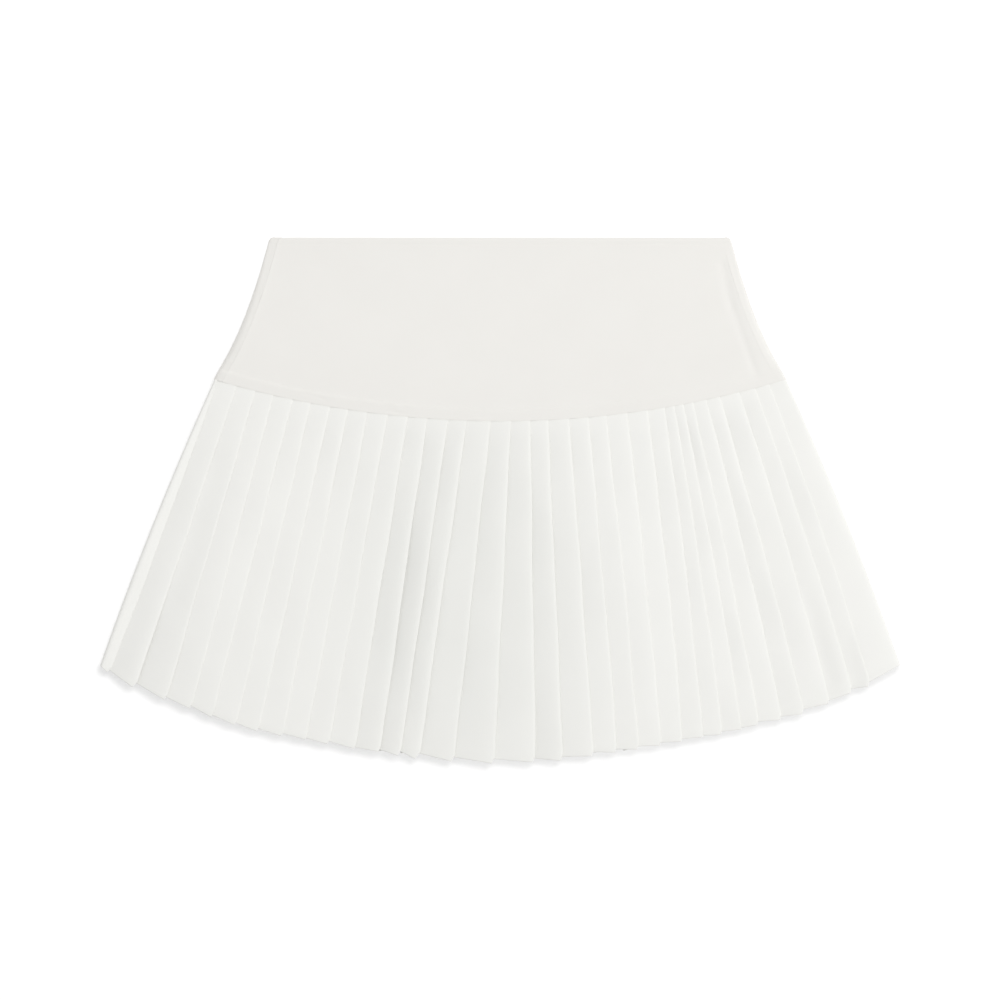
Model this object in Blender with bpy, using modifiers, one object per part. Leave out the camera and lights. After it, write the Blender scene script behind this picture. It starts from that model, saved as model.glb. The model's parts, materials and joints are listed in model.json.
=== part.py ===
"""Pleated skort, laid flat on a surface with its front up.

A knitted yoke carries an all-round skirt of one-way knife pleats, with plain
inner shorts between the two skirt panels. Lengths in the tables are
millimetres. X runs across the garment, Y up to the waist edge, and Z away
from the surface that the garment lies on. "Level" is the distance below the
waist edge.
"""

from collections import namedtuple
import math

import bmesh
import bpy
from mathutils import Vector

MM = 0.001


def between(a, b, share):
    return a + (b - a) * share


def eased(share):
    """0 to 1 with level ends."""
    return share * share * (3 - 2 * share)


# Driving sizes
YOKE_WALL = 1.4
PLEAT_WALL = 1.0
SHORTS_WALL = 1.0
GAP = 0.3                # left between pieces where they meet
LAYER = PLEAT_WALL + 0.4  # from the middle of one pleat layer to the next
PLEAT_CLOTH = 33.0       # most cloth in one pleat: its face and twice its underlay
SIDE_TURN = 1.2          # how far a panel's wall rounds over at its sides
SIDE_BEND = 3.0          # how far the back yoke takes to turn up at its sides

SEAM_LEVEL = 123.0       # yoke to pleats, at the middle
SEAM_HALF = 192.0
SEAM_SAG = 28.0          # how much higher the seam is at the sides
HEM_LEVEL = 350.0        # pleat hem, at the middle
HEM_RADIUS = 610.0
SIDE_SEAM_INSET = 6.0    # the back yoke laps round to the front by this much
ALLOWANCE = 7.5          # turned-up allowance that pads the yoke above its seam
ALLOWANCE_RISE = 0.6
SEAM_STEP = 0.3          # the yoke's face stands this far above the pleats'
FRONT_DEPTH = 5.0        # from the front pleats' face to the back of their stack
HEM_OPENING = 1.6        # how much further a front pleat drops at the hem

# Facets
YOKE_STEPS = 16
SIDE_STEPS = 4
SHORTS_STEPS = 8

Outline = namedtuple("Outline", "level half_width")
OUTLINE = (
    Outline(0, 154.5),
    Outline(28, 162.5),
    Outline(55, 172.0),
    Outline(75, 181.0),
    Outline(95, 192.0),
    Outline(122, 205.0),
    Outline(176, 228.0),
    Outline(230, 249.0),
    Outline(286, 268.5),
)

# One row for each fold edge, from the wearer's right to left: where it leaves
# the seam and where it ends at the hem, how far its corner hangs below the
# hem's arc, the step up to the next pleat, its outward bow, and its lift.
Fold = namedtuple("Fold", "seam hem hang step bow lift")
FRONT_FOLDS = (
    Fold(-187.5, -261.5, 1.0, 2.0, 0.0, 0.0),
    Fold(-176.5, -244.5, 3.0, 3.5, 0.0, 1.0),
    Fold(-164.0, -224.0, 2.5, 2.0, 0.0, 0.0),
    Fold(-152.0, -207.0, 2.0, 2.0, 0.0, 0.0),
    Fold(-139.0, -193.0, 3.0, 1.5, 0.0, 0.0),
    Fold(-127.0, -177.0, 3.0, 1.5, 0.0, 0.0),
    Fold(-114.0, -162.0, 3.0, 2.0, 0.0, 0.0),
    Fold(-102.0, -146.0, 2.0, 2.0, 0.0, 0.0),
    Fold(-89.0, -130.0, 0.5, 1.0, 0.0, 0.0),
    Fold(-75.5, -114.5, 0.5, 2.0, 0.0, 0.0),
    Fold(-62.0, -97.5, 0.5, 1.0, 0.0, 0.3),
    Fold(-49.0, -80.5, 0.0, 1.5, 0.0, 1.2),
    Fold(-35.0, -67.0, 1.0, 3.0, 0.0, 1.4),
    Fold(-22.5, -54.5, 2.0, 4.0, 0.0, 0.8),
    Fold(-6.5, -31.0, 2.0, 3.0, 0.0, 0.3),
    Fold(7.0, -4.0, 2.5, 3.0, 0.0, 0.2),
    Fold(20.0, 23.5, 2.0, 2.5, 0.0, 0.2),
    Fold(32.0, 42.0, 2.0, 2.5, 0.0, 0.2),
    Fold(46.0, 62.5, 0.5, 2.5, 0.5, 0.2),
    Fold(59.0, 78.5, 0.0, 2.0, 0.5, 0.0),
    Fold(71.0, 93.0, 0.0, 2.0, 1.0, 0.0),
    Fold(85.0, 108.0, 0.0, 2.0, 1.0, 0.0),
    Fold(98.5, 122.5, 0.0, 1.5, 1.5, 0.0),
    Fold(110.0, 136.0, 0.0, 1.0, 1.5, 0.0),
    Fold(116.5, 149.0, 1.5, 2.0, 1.5, 0.0),
    Fold(122.5, 162.0, 1.5, 1.0, 1.5, 0.0),
    Fold(129.0, 173.5, 1.5, 2.0, 1.5, 0.3),
    Fold(138.0, 189.0, 3.0, 2.0, 1.5, 0.4),
    Fold(147.0, 204.0, 4.0, 3.0, 1.5, 0.5),
    Fold(160.0, 221.0, 3.5, 2.0, 2.0, 0.2),
    Fold(170.5, 236.5, 2.5, 2.5, 2.0, 0.0),
    Fold(180.0, 248.0, 3.0, 3.0, 2.5, 0.0),
)


# The two sides of a panel: where its wall starts and ends at seam and hem.
Side = namedtuple("Side", "seam hem hang bow")
LEFT_SIDE = Side(-191.5, -268.0, -1.0, 2.5)
RIGHT_SIDE = Side(191.5, 268.0, -1.5, 2.5)

# How a panel rounds over at its sides: distance in from the side, and drop.
Roll = namedtuple("Roll", "inset drop")
LEFT_ROLL = (Roll(PLEAT_WALL / 2, SIDE_TURN), Roll(PLEAT_WALL / 2 + SIDE_TURN, 0.0))
RIGHT_ROLL = (Roll(6.8, 0.0), Roll(1.7, 0.6), Roll(PLEAT_WALL / 2, 2 * SIDE_TURN))

# Levels above the surface, to the middle of each wall.
BACK_FACE = PLEAT_WALL / 2
BACK_STACK = BACK_FACE + 2 * LAYER
SHORTS_BACK = BACK_STACK + PLEAT_WALL / 2 + GAP + SHORTS_WALL / 2
SHORTS_FRONT = SHORTS_BACK + SHORTS_WALL + GAP
FRONT_FLOOR = SHORTS_FRONT + SHORTS_WALL / 2 + GAP + PLEAT_WALL / 2
FRONT_FACE = FRONT_FLOOR + FRONT_DEPTH
SIDE_JOIN = BACK_STACK + 1.0
YOKE_BACK = YOKE_WALL / 2
YOKE_WAIST = YOKE_BACK + YOKE_WALL + GAP
YOKE_SEAM = FRONT_FACE + (PLEAT_WALL - YOKE_WALL) / 2 + SEAM_STEP

# Sections of the yoke: the share of the way from waist edge to seam, and how
# far the turned-up allowance raises it there.
Station = namedtuple("Station", "share padding")
ALLOWANCE_TOP = 1 - ALLOWANCE / SEAM_LEVEL
YOKE_STATIONS = (
    Station(0.0, 0.0),
    Station(0.2, 0.0),
    Station(0.4, 0.0),
    Station(0.6, 0.0),
    Station(0.8, 0.0),
    Station(ALLOWANCE_TOP, 0.0),
    Station(ALLOWANCE_TOP + 0.02, ALLOWANCE_RISE),
    Station(1.0, ALLOWANCE_RISE),
)

# Inner shorts, one leg: corners given as distance from the middle and level.
Corner = namedtuple("Corner", "out level")
SHORTS_CROTCH = Corner(GAP / 2, 246.0)
SHORTS_INNER_HEM = Corner(12.0, 312.0)
SHORTS_OUTER_HEM = Corner(204.0, 292.0)
SHORTS_SIDE = 183.0

# How a pleated panel is built. Each face drops away from its fold to its
# tucked start, and its knee is where that slope changes; stations are the
# shares of the way from seam to hem of the panel's sections.
Style = namedtuple("Style", "folds outward face drop_seam drop_hem knee knee_rise floor stations")


# ---------------------------------------------------------------- shapes

def half_width(level):
    """Half of the garment's width at a level, along a smooth line through OUTLINE."""
    rows = OUTLINE
    last = len(rows) - 2
    i = max(0, min(last, sum(1 for row in rows if row.level <= level) - 1))
    a, b = rows[i], rows[i + 1]
    before, after = rows[max(0, i - 1)], rows[min(last + 1, i + 2)]
    span = b.level - a.level
    slope_a = (b.half_width - before.half_width) / (b.level - before.level)
    slope_b = (after.half_width - a.half_width) / (after.level - a.level)
    s = (level - a.level) / span
    return (between(a.half_width, b.half_width, eased(s))
            + span * s * (1 - s) * ((1 - s) * slope_a - s * slope_b))


def seam_level(x):
    """The yoke's lower edge is an arc, lowest at the middle."""
    radius = (SEAM_HALF ** 2 + SEAM_SAG ** 2) / (2 * SEAM_SAG)
    return SEAM_LEVEL - radius + math.sqrt(radius ** 2 - x ** 2)


def hem_level(x):
    return HEM_LEVEL - HEM_RADIUS + math.sqrt(HEM_RADIUS ** 2 - x ** 2)


def place(x, level, height):
    return Vector((x * MM, -level * MM, height * MM))


# ---------------------------------------------------------------- pleats

def back_folds():
    """The hidden panel has as many folds, a little uneven in their spacing and length."""
    first, last, count = FRONT_FOLDS[0], FRONT_FOLDS[-1], len(FRONT_FOLDS)
    rows = []
    for i in range(count):
        share = i / (count - 1)
        rows.append(Fold(between(first.seam, last.seam, share) + (1.2 * math.sin(2.1 * i) if i else 0.0),
                         between(first.hem, last.hem, share) + (2.2 * math.sin(1.7 * i) if i else 0.0),
                         2.0 + 1.2 * math.sin(1.3 * i), 2.0 + 0.8 * math.sin(2.9 * i), 0.0, 0.0))
    return tuple(rows)


FRONT_STYLE = Style(FRONT_FOLDS, 1, FRONT_FACE, 2 * LAYER, 2 * LAYER + HEM_OPENING, 0.4, 0.62,
                    SIDE_JOIN + GAP / 2, (0.0, 0.16, 0.38, 0.6, 0.8, 1.0))
BACK_STYLE = Style(back_folds(), -1, BACK_FACE, 2 * LAYER, 2 * LAYER, 0.3, 1.0,
                   SIDE_JOIN - GAP / 2, (0.0, 0.3, 0.65, 1.0))


class Line:
    """A line on a panel, from its seam to its hem, with an outward bow."""

    def __init__(self, seam, hem, hem_at, bow):
        self.top = Vector((seam, seam_level(seam) + GAP))
        self.bottom = Vector((hem, hem_at))
        self.bow = bow if hem > 0 else -bow

    def at(self, share):
        point = self.top.lerp(self.bottom, share)
        point.x += 4 * share * (1 - share) * self.bow
        return point

    def across(self):
        """Unit vector square to the line, on the panel, towards +X."""
        run = (self.bottom - self.top).normalized()
        return Vector((run.y, -run.x))

    def beside(self, seam_shift, hem_shift, hem_drop=0.0):
        """The line moved sideways by one amount at the seam and another at the hem."""
        side = self.across()
        moved = self.bottom + side * hem_shift
        copy = Line(self.top.x + side.x * seam_shift, moved.x, moved.y + hem_drop, 0.0)
        copy.bow = self.bow
        return copy


class Pleats:
    """A pleated panel's cross-section. A pleat is a face that rises to its
    fold, the underlay that returns beneath it, and the tucked start of the
    next face. Heights are measured outward from the panel's face."""

    def __init__(self, style):
        self.style = style
        self.lines = [self.line_of(fold) for fold in style.folds]
        self.left = self.line_of(LEFT_SIDE)
        self.right = self.line_of(RIGHT_SIDE)

    @staticmethod
    def line_of(row):
        return Line(row.seam, row.hem, hem_level(row.hem) + row.hang, row.bow)

    def lift(self, i, share):
        return self.style.folds[i].lift * eased(min(1.0, share * 2))

    def start(self, i, share):
        """Height where face i starts, tucked under the fold before it."""
        return self.lift(i - 1, share) - between(self.style.drop_seam, self.style.drop_hem, eased(share))

    def pitch(self, i, share):
        return (self.lines[i].at(share) - self.lines[i - 1].at(share)).dot(self.lines[i].across())

    def knee_height(self, i, share):
        return between(self.start(i, share), self.lift(i, share), self.style.knee_rise)

    def underlay(self, i, share):
        """How far the underlay of fold i reaches back beneath its face."""
        if i == 0:
            reach = (self.lines[0].at(share) - self.left.at(share)).dot(self.left.across())
            return reach - PLEAT_WALL - GAP - SIDE_TURN
        width = self.pitch(i, share)
        return min((PLEAT_CLOTH - width) / 2, (1 - self.style.knee) * width - 1.5 * PLEAT_WALL)

    def over_underlay(self, i, share):
        """Height of face i where the underlay below it ends, between its knee and its fold."""
        if i == 0:
            return self.lift(0, share)
        knee = self.style.knee
        along = 1 - self.underlay(i, share) / self.pitch(i, share)
        return between(self.knee_height(i, share), self.lift(i, share), (along - knee) / (1 - knee))

    def knee_line(self, i):
        before, line, knee = self.lines[i - 1], self.lines[i], self.style.knee
        return Line(between(before.top.x, line.top.x, knee),
                    between(before.bottom.x, line.bottom.x, knee),
                    between(before.bottom.y - self.style.folds[i - 1].step, line.bottom.y, knee),
                    self.style.folds[i].bow)

    def fold_columns(self, i):
        line, step = self.lines[i], self.style.folds[i].step
        back = (-self.underlay(i, 0.0), -self.underlay(i, 1.0))
        return [
            (line, lambda share: self.lift(i, share)),
            (line, lambda share: self.lift(i, share) - LAYER),
            (line.beside(*back), lambda share: self.over_underlay(i, share) - LAYER),
            (line.beside(*back, -step), lambda share: self.over_underlay(i, share) - 2 * LAYER),
            (line.beside(PLEAT_WALL, PLEAT_WALL, -step), lambda share: self.start(i + 1, share)),
        ]

    def columns(self):
        """Columns from one side to the other: each a line and its height at a share of the way down."""
        floor = (self.style.floor - self.style.face) * self.style.outward
        edge = PLEAT_WALL / 2
        columns = [(self.left.beside(edge, edge), lambda share: floor)]
        for roll in LEFT_ROLL:
            columns.append((self.left.beside(roll.inset, roll.inset), lambda share, roll=roll: -roll.drop))
        columns += self.fold_columns(0)
        for i in range(1, len(self.lines)):
            columns.append((self.knee_line(i), lambda share, i=i: self.knee_height(i, share)))
            columns += self.fold_columns(i)
        for roll in RIGHT_ROLL:
            columns.append((self.right.beside(-roll.inset, -roll.inset), lambda share, roll=roll: -roll.drop))
        columns.append((self.right.beside(-edge, -edge), lambda share: floor))
        return columns


def wall_sides(middle, wall):
    """The two sides of a wall round a line of points, mitred at its corners."""
    turns = []
    for before, after in zip(middle, middle[1:]):
        run = (after - before).normalized()
        turns.append(Vector((-run.y, run.x)))
    upper, lower = [], []
    for point, first, second in zip(middle, turns[:1] + turns, turns + turns[-1:]):
        mitre = (first + second) / (1 + first.dot(second)) * wall / 2
        upper.append(point + mitre)
        lower.append(point - mitre)
    return upper, lower


def pleated_panel(name, style, material, collection):
    """A pleated wall, lofted through its sections and closed at seam and hem.
    The back panel is laid out as the front and turned over."""
    columns = Pleats(style).columns()
    shape = bmesh.new()
    previous = None
    for share in style.stations:
        flats = [line.at(share) for line, _ in columns]
        middle = [Vector((flat.x, height(share))) for flat, (_, height) in zip(flats, columns)]
        section = []
        for side in wall_sides(middle, PLEAT_WALL):
            for point, flat in zip(side, flats):
                level = flat.y if share else seam_level(point.x) + GAP
                section.append(shape.verts.new(
                    place(point.x * style.outward, level, style.face + style.outward * point.y)))
        count = len(columns)
        if previous:
            for side in (0, count):
                for i in range(side, side + count - 1):
                    shape.faces.new((previous[i], section[i], section[i + 1], previous[i + 1]))
            for i in (0, count - 1):
                shape.faces.new((previous[i], section[i], section[i + count], previous[i + count]))
        if share in (0.0, 1.0):
            for i in range(count - 1):
                shape.faces.new((section[i], section[i + 1], section[i + 1 + count], section[i + count]))
        previous = section
    bmesh.ops.recalc_face_normals(shape, faces=shape.faces)
    return new_object(name, shape, material, collection)


# ---------------------------------------------------------------- objects

def new_object(name, shape, material, collection):
    mesh = bpy.data.meshes.new(name)
    shape.to_mesh(mesh)
    shape.free()
    mesh.materials.append(material)
    item = bpy.data.objects.new(name, mesh)
    collection.objects.link(item)
    return item


def sheet(name, rows, wall, material, collection):
    """A wall of one thickness whose middle surface runs through rows of points."""
    shape = bmesh.new()
    grid = [[shape.verts.new(point) for point in row] for row in rows]
    for upper, lower in zip(grid, grid[1:]):
        for i in range(len(upper) - 1):
            shape.faces.new((upper[i], lower[i], lower[i + 1], upper[i + 1]))
    item = new_object(name, shape, material, collection)
    solid = item.modifiers.new("Wall", "SOLIDIFY")
    solid.thickness = wall * MM
    solid.offset = 0.0
    solid.use_even_offset = True
    return item


def yoke_height(station):
    """Middle of the front yoke's wall at a station."""
    return between(YOKE_WAIST, YOKE_SEAM - ALLOWANCE_RISE, eased(station.share)) + station.padding


def yoke_point(across, margin, share, height):
    """A point of the yoke: across is -1 to 1 between lines a margin inside its edges."""
    level = seam_level(across * (SEAM_HALF - margin)) * share
    edge = half_width(seam_level(SEAM_HALF) * share)
    return place(across * (edge - margin), level, height)


def front_yoke(material, collection):
    rows = []
    for station in YOKE_STATIONS:
        height = yoke_height(station)
        rows.append([yoke_point(between(-1.0, 1.0, k / YOKE_STEPS), SIDE_SEAM_INSET + GAP, station.share, height)
                     for k in range(YOKE_STEPS + 1)])
    return sheet("yoke_front", rows, YOKE_WALL, material, collection)


def back_yoke(material, collection):
    """The back yoke lies flat on the surface and turns up round both sides."""
    rows = []
    for station in YOKE_STATIONS:
        rise = (yoke_height(station) - YOKE_BACK) / 2
        bend = min(rise, SIDE_BEND)
        side = [(SIDE_SEAM_INSET, yoke_height(station))]
        for k in range(SIDE_STEPS + 1):
            angle = math.pi / 2 - math.pi * k / SIDE_STEPS
            side.append((YOKE_WALL / 2 + bend * (1 - math.cos(angle)),
                         YOKE_BACK + rise * (1 + math.sin(angle))))
        rows.append(
            [yoke_point(-1.0, margin, station.share, height) for margin, height in side]
            + [yoke_point(between(-1.0, 1.0, k / YOKE_STEPS), 0.0, station.share, YOKE_BACK)
               for k in range(1, YOKE_STEPS)]
            + [yoke_point(1.0, margin, station.share, height) for margin, height in reversed(side)])
    return sheet("yoke_back", rows, YOKE_WALL, material, collection)


def shorts_leg(name, side, height, material, collection):
    """One flat panel of the inner shorts, cut off under the yoke's seam."""
    top = []
    for k in range(SHORTS_STEPS + 1):
        out = between(GAP / 2, SHORTS_SIDE, k / SHORTS_STEPS)
        top.append((out, seam_level(out) + 2 * GAP))
    outline = top + [tuple(SHORTS_OUTER_HEM), tuple(SHORTS_INNER_HEM), tuple(SHORTS_CROTCH)]
    curve = bpy.data.curves.new(name, "CURVE")
    curve.dimensions = "2D"
    curve.fill_mode = "BOTH"
    curve.extrude = SHORTS_WALL / 2 * MM
    line = curve.splines.new("POLY")
    line.points.add(len(outline) - 1)
    for point, (out, level) in zip(line.points, outline):
        point.co = (side * out * MM, -level * MM, 0.0, 1.0)
    line.use_cyclic_u = True
    curve.materials.append(material)
    item = bpy.data.objects.new(name, curve)
    item.location.z = height * MM
    collection.objects.link(item)
    return item


def cloth(name, colour, roughness):
    material = bpy.data.materials.new(name)
    material.use_nodes = True
    shader = material.node_tree.nodes["Principled BSDF"]
    shader.inputs["Base Color"].default_value = (*colour, 1.0)
    shader.inputs["Roughness"].default_value = roughness
    material.diffuse_color = (*colour, 1.0)
    return material


def main():
    for item in list(bpy.data.objects):
        bpy.data.objects.remove(item, do_unlink=True)
    garment = bpy.data.collections.new("Pleated skort")
    bpy.context.scene.collection.children.link(garment)

    knit = cloth("Ivory knit", (0.84, 0.83, 0.80), 0.85)
    pleat_cloth = cloth("White pleated cloth", (0.86, 0.86, 0.85), 0.75)
    shorts_knit = cloth("White shorts knit", (0.85, 0.85, 0.83), 0.85)

    front_yoke(knit, garment)
    back_yoke(knit, garment)
    pleated_panel("skirt_front", FRONT_STYLE, pleat_cloth, garment)
    pleated_panel("skirt_back", BACK_STYLE, pleat_cloth, garment)
    for layer, height in (("back", SHORTS_BACK), ("front", SHORTS_FRONT)):
        shorts_leg(f"shorts_{layer}_right", -1, height, shorts_knit, garment)
        shorts_leg(f"shorts_{layer}_left", 1, height, shorts_knit, garment)

    centre_on_surface(garment)


def centre_on_surface(garment):
    """Moves every piece so that the garment's box stands on Z = 0 with its middle over the origin."""
    points = [vertex.co for item in garment.objects if item.type == "MESH" for vertex in item.data.vertices]
    low = Vector(min(point[axis] for point in points) for axis in range(3))
    high = Vector(max(point[axis] for point in points) for axis in range(3))
    for item in garment.objects:
        item.location -= Vector(((low.x + high.x) / 2, (low.y + high.y) / 2, low.z))


main()
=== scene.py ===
from collections import namedtuple
import json
import math

import bmesh
import bpy
import numpy as np
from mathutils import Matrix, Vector

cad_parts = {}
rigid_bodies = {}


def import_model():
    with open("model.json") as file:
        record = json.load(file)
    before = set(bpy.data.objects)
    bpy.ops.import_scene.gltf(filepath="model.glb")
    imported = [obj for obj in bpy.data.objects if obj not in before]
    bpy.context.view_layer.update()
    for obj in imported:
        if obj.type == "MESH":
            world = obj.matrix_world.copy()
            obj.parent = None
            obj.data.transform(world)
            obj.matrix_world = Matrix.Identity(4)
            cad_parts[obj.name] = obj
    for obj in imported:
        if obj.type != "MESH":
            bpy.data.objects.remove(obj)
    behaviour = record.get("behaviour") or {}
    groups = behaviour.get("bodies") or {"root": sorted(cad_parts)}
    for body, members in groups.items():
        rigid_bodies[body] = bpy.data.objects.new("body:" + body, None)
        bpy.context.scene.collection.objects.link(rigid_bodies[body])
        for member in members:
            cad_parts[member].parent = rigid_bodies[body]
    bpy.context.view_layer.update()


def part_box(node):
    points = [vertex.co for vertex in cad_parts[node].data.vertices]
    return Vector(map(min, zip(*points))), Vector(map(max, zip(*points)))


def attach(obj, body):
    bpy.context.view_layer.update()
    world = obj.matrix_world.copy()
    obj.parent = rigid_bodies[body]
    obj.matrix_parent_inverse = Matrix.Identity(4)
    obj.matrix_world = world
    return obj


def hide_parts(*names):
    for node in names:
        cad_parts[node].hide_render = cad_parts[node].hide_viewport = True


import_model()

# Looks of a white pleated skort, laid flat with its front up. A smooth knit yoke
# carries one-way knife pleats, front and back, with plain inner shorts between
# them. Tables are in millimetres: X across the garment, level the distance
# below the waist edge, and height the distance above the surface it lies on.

MM = 0.001


def between(a, b, share):
    return a + (b - a) * share


def eased(share):
    """0 to 1 with level ends."""
    share = max(0.0, min(1.0, share))
    return share * share * (3 - 2 * share)


def eased_all(shares):
    """The same, for arrays too."""
    shares = np.clip(shares, 0, 1)
    return shares * shares * (3 - 2 * shares)


def cubic(share):
    """How much each of a curve's four corners counts at a share of its way."""
    rest = 1 - share
    return rest ** 3, 3 * rest ** 2 * share, 3 * rest * share ** 2, share ** 3


def frame_mm(node, corner, axis):
    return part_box(node)[corner][axis] / MM


# ---------------------------------------------------------------- sizes

GAP = 0.3                 # between the frame's pieces where they meet
WAIST_Y = frame_mm("yoke_back", 1, 1)
SEAM_LEVEL = 123.0        # yoke to pleats, at the middle
SEAM_HALF = frame_mm("yoke_back", 1, 0)
SEAM_SAG = 28.0
SEAM_RADIUS = (SEAM_HALF ** 2 + SEAM_SAG ** 2) / (2 * SEAM_SAG)
HEM_LEVEL = 350.0
HEM_RADIUS = 610.0
SKIRT_HALF = frame_mm("skirt_front", 1, 0)

PLEAT_WALL = 0.16
PLEAT_CLOTH = 33.0        # most cloth in one pleat: its face and twice its underlay
TUCK_START = 0.3          # a face comes out from under the fold before it here
YOKE_WALL = 1.0
SHORTS_WALL = 0.8
SEAM_GAP = 0.015          # between pieces that a seam closes
SEAM_SINK = 0.10          # the pleats sink this far beside their seam
SINK_REACH = 3.5
SIDE_SEAM_INSET = 6.0
RIGHT_SEAM_RISE = 0.24    # the wearer's right side seam stands up by this
LEFT_SEAM_RISE = 0.0
LEFT_BAND_FALL = 0.35     # beyond the wearer's left seam the cloth slopes down by this
SIDE_BEND = 3.0           # radius of the yoke's turned sides
SEAM_BEND = 1.4           # and of their end at the seam
ALLOWANCE = 7.5           # turned up above the yoke's lower seam
ALLOWANCE_RISE = 0.6      # it lifts the yoke by this

# Heights, most of them of the middle of a wall, from the frame's own heights.
SHORTS_TOP = frame_mm("shorts_front_left", 1, 2)
FRAME_WALL = 1.0          # of the frame's pleated panels
FRONT_DEPTH = 5.0         # of the front's folds
LIFT_WAVER = 0.16         # how far a fold's height wavers down its length
FRONT_FACE = SHORTS_TOP + GAP + FRAME_WALL + FRONT_DEPTH - PLEAT_WALL / 2 + LIFT_WAVER
BACK_FACE = PLEAT_WALL / 2 + 0.03    # just clear of the surface below
SIDE_JOIN = (frame_mm("skirt_back", 1, 2) + frame_mm("skirt_front", 0, 2)) / 2
YOKE_TOP = frame_mm("yoke_front", 1, 2)
YOKE_SEAM = YOKE_TOP - YOKE_WALL / 2
YOKE_BACK = YOKE_WALL / 2
YOKE_WAIST = frame_mm("yoke_front", 0, 2) + YOKE_WALL / 2

Outline = namedtuple("Outline", "level half_width")
OUTLINE = (
    Outline(0, 154.5),
    Outline(28, 162.5),
    Outline(55, 172.0),
    Outline(75, 181.0),
    Outline(95, 192.0),
    Outline(122, 205.0),
    Outline(176, 228.0),
    Outline(230, 249.0),
    Outline(286, 268.5),
)

# How loosely the pleats lie, from the seam down: how far a face rises from its
# tucked start. Each layer of cloth and the roll at the fold take shares of it.
Loft = namedtuple("Loft", "share rise")
LOFTS = (
    Loft(0.0, 0.60),
    Loft(0.08, 1.40),
    Loft(0.4, 1.15),
    Loft(1.0, 1.30),
)
LAYER_SHARE = 0.28
LEAST_ROLL, ROLL_SHARE = 0.13, 0.24

# One row for each fold edge, from the wearer's right to left: where it leaves
# the seam and ends at the hem, how far its corner hangs below the hem's arc,
# the step up to the next pleat, its outward bow, its lift, and how much deeper
# than usual the next face starts at the seam, half way down and at the hem.
Fold = namedtuple("Fold", "seam hem hang step bow lift deep_top deep_middle deep_hem")
FRONT_FOLDS = (
    Fold(-189.5, -262.0, 1.0, 2.0, -1.0, -3.4, -0.9, -0.9, -0.9),
    Fold(-176.5, -244.5, 3.0, 3.5, 0.0, -0.6, -0.4, -0.3, 2.1),
    Fold(-164.0, -224.0, 2.5, 2.0, 0.0, -0.1, -0.2, -0.6, 0.3),
    Fold(-152.0, -207.0, 2.0, 2.0, 0.0, 0.0, -0.2, -0.4, -0.6),
    Fold(-139.0, -193.0, 3.0, 1.5, 0.0, 0.0, 0.0, -0.4, -0.5),
    Fold(-127.0, -177.0, 3.0, 1.5, 0.0, 0.0, 0.0, -0.4, -0.5),
    Fold(-114.0, -162.0, 3.0, 2.0, 0.0, 0.0, 0.1, -0.3, -0.6),
    Fold(-102.0, -146.0, 2.0, 2.0, 0.0, 0.0, 0.3, -0.4, -0.7),
    Fold(-89.0, -130.0, 0.5, 1.0, 0.0, 0.0, 0.2, -0.3, -0.6),
    Fold(-75.5, -114.5, 0.5, 2.0, 0.0, 0.0, 0.2, -0.3, -0.4),
    Fold(-62.0, -97.5, 0.5, 1.0, 0.0, 0.2, 0.5, 0.7, 0.2),
    Fold(-49.0, -80.5, 0.0, 1.5, 0.0, 0.9, 0.6, 2.0, 1.0),
    Fold(-35.0, -67.0, 1.0, 3.0, 0.0, 1.0, 0.6, 1.3, 1.0),
    Fold(-22.5, -54.5, 2.0, 4.0, 0.0, 0.6, 0.6, 1.6, 1.4),
    Fold(-6.5, -31.0, 2.0, 3.0, 0.0, 0.2, 0.4, 1.0, 1.0),
    Fold(7.0, -4.0, 2.5, 3.0, 0.0, 0.2, 0.6, 1.1, 0.9),
    Fold(20.0, 23.5, 2.0, 2.5, 0.0, 0.1, 0.4, 1.0, 1.1),
    Fold(32.0, 42.0, 2.0, 2.5, 0.0, 0.1, 0.5, 0.7, 0.8),
    Fold(46.0, 62.5, 0.5, 2.5, 0.5, 0.1, 0.5, 0.5, 0.2),
    Fold(59.0, 78.5, 0.0, 2.0, 0.5, 0.0, 0.1, -0.3, -0.1),
    Fold(71.0, 93.0, 0.0, 2.0, 1.0, 0.0, -0.1, -0.6, -0.6),
    Fold(85.0, 108.0, 0.0, 2.0, 1.0, 0.0, 0.1, -0.3, -0.5),
    Fold(98.5, 122.5, 0.0, 1.5, 1.5, 0.0, 0.0, 0.0, -0.4),
    Fold(110.0, 136.0, 0.0, 1.0, 1.5, 0.0, -0.2, -0.2, -0.3),
    Fold(116.5, 149.0, 1.5, 2.0, 1.5, 0.0, -0.2, -0.5, -0.6),
    Fold(122.5, 162.0, 1.5, 1.0, 1.5, 0.0, -0.1, -0.3, -0.5),
    Fold(129.0, 173.5, 1.5, 2.0, 1.5, 0.2, -0.2, -0.5, -0.2),
    Fold(138.0, 189.0, 3.0, 2.0, 1.5, 0.3, -0.1, 0.3, 0.0),
    Fold(147.0, 204.0, 4.0, 3.0, 1.5, 0.3, 0.6, 0.1, -0.3),
    Fold(160.0, 221.0, 3.5, 2.0, 2.0, 0.2, 0.4, -0.1, -0.3),
    Fold(170.5, 236.5, 2.5, 2.5, 2.0, 0.2, -0.7, -0.4, -0.4),
    Fold(180.0, 248.0, 3.0, 3.0, 2.5, 0.8, -0.8, -0.6, -0.6),
)


# The hidden panel's folds: how its seam, hem, hang and step sway from fold to
# fold, as a size and a pace each, and its usual hang and step.
BACK_SWAYS = ((1.2, 2.1), (2.2, 1.7), (1.2, 1.3), (0.8, 2.9))
BACK_HANG, BACK_STEP = -1.5, 2.0


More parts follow.
